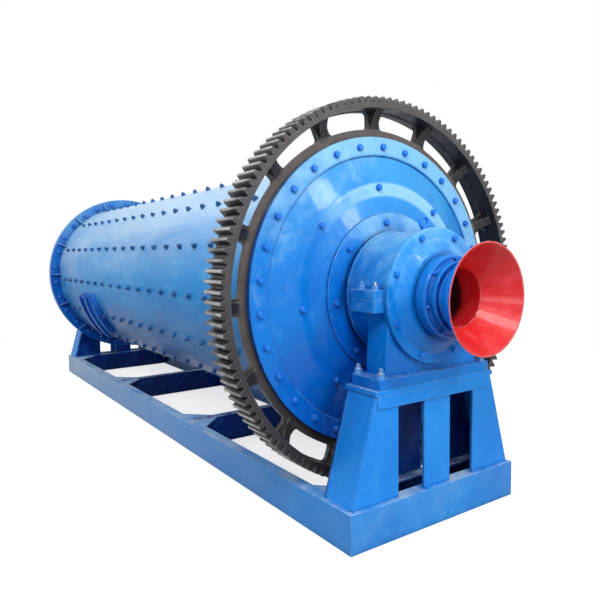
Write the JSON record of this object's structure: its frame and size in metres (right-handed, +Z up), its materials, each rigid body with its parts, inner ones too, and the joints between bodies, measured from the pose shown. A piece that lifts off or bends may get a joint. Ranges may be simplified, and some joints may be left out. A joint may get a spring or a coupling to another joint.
{
  "type": "ball mill",
  "caption": "Overflow ball mill: bolted steel drum with a girth gear, turning in split trunnion bearings on plate pedestals and a channel skid frame, with bell-mouth spouts.",
  "frame": {"origin": "ground level under the middle of the skid frame, on the drum's vertical plane", "axes": "+X along the drum axis towards the geared end, +Z up"},
  "size_m": [6.05, 2.144, 2.272],
  "materials": {
    "blue_paint": "semi-gloss blue enamel",
    "red_paint": "gloss red enamel",
    "gear_casting": "dark casting, cut teeth",
    "liner_steel": "as cast",
    "bush_bronze": "machined"
  },
  "bodies": {
    "frame": {"frame_gussets": "blue_paint", "front_bearing_base": "blue_paint", "front_bearing_bush": "bush_bronze", "front_bearing_cap": "blue_paint", "front_bearing_inner_cover": "blue_paint", "front_bearing_outer_cover": "blue_paint", "front_end_beam": "blue_paint", "front_middle_beam": "blue_paint", "front_pedestal_beam": "blue_paint", "front_pedestal_inner_plate": "blue_paint", "front_pedestal_outer_plate": "blue_paint", "front_pedestal_side_plates": "blue_paint", "front_pedestal_top_plate": "blue_paint", "left_rail": "blue_paint", "rear_bearing_base": "blue_paint", "rear_bearing_bush": "bush_bronze", "rear_bearing_cap": "blue_paint", "rear_bearing_inner_cover": "blue_paint", "rear_bearing_outer_cover": "blue_paint", "rear_end_beam": "blue_paint", "rear_middle_beam": "blue_paint", "rear_pedestal_beam": "blue_paint", "rear_pedestal_inner_plate": "blue_paint", "rear_pedestal_outer_plate": "blue_paint", "rear_pedestal_side_plates": "blue_paint", "rear_pedestal_top_plate": "blue_paint", "right_rail": "blue_paint"},
    "drum": {"front_head": "blue_paint", "front_seal_collar": "blue_paint", "front_shell_flange": "blue_paint", "front_spout": "red_paint", "front_trunnion": "blue_paint", "front_trunnion_liner": "red_paint", "girth_gear": "gear_casting", "manhole_clamp_bars": "blue_paint", "manhole_cover": "blue_paint", "manhole_frame": "blue_paint", "rear_head": "blue_paint", "rear_seal_collar": "blue_paint", "rear_shell_flange": "blue_paint", "rear_spout": "red_paint", "rear_trunnion": "blue_paint", "rear_trunnion_liner": "red_paint", "shell": "blue_paint", "shell_liner": "liner_steel"}
  },
  "joints": [
    {"name": "drum_spin", "type": "hinge", "parent": "frame", "child": "drum", "pos_m": [0, 0, 1.2], "axis": [1, 0, 0], "continuous": true}
  ]
}
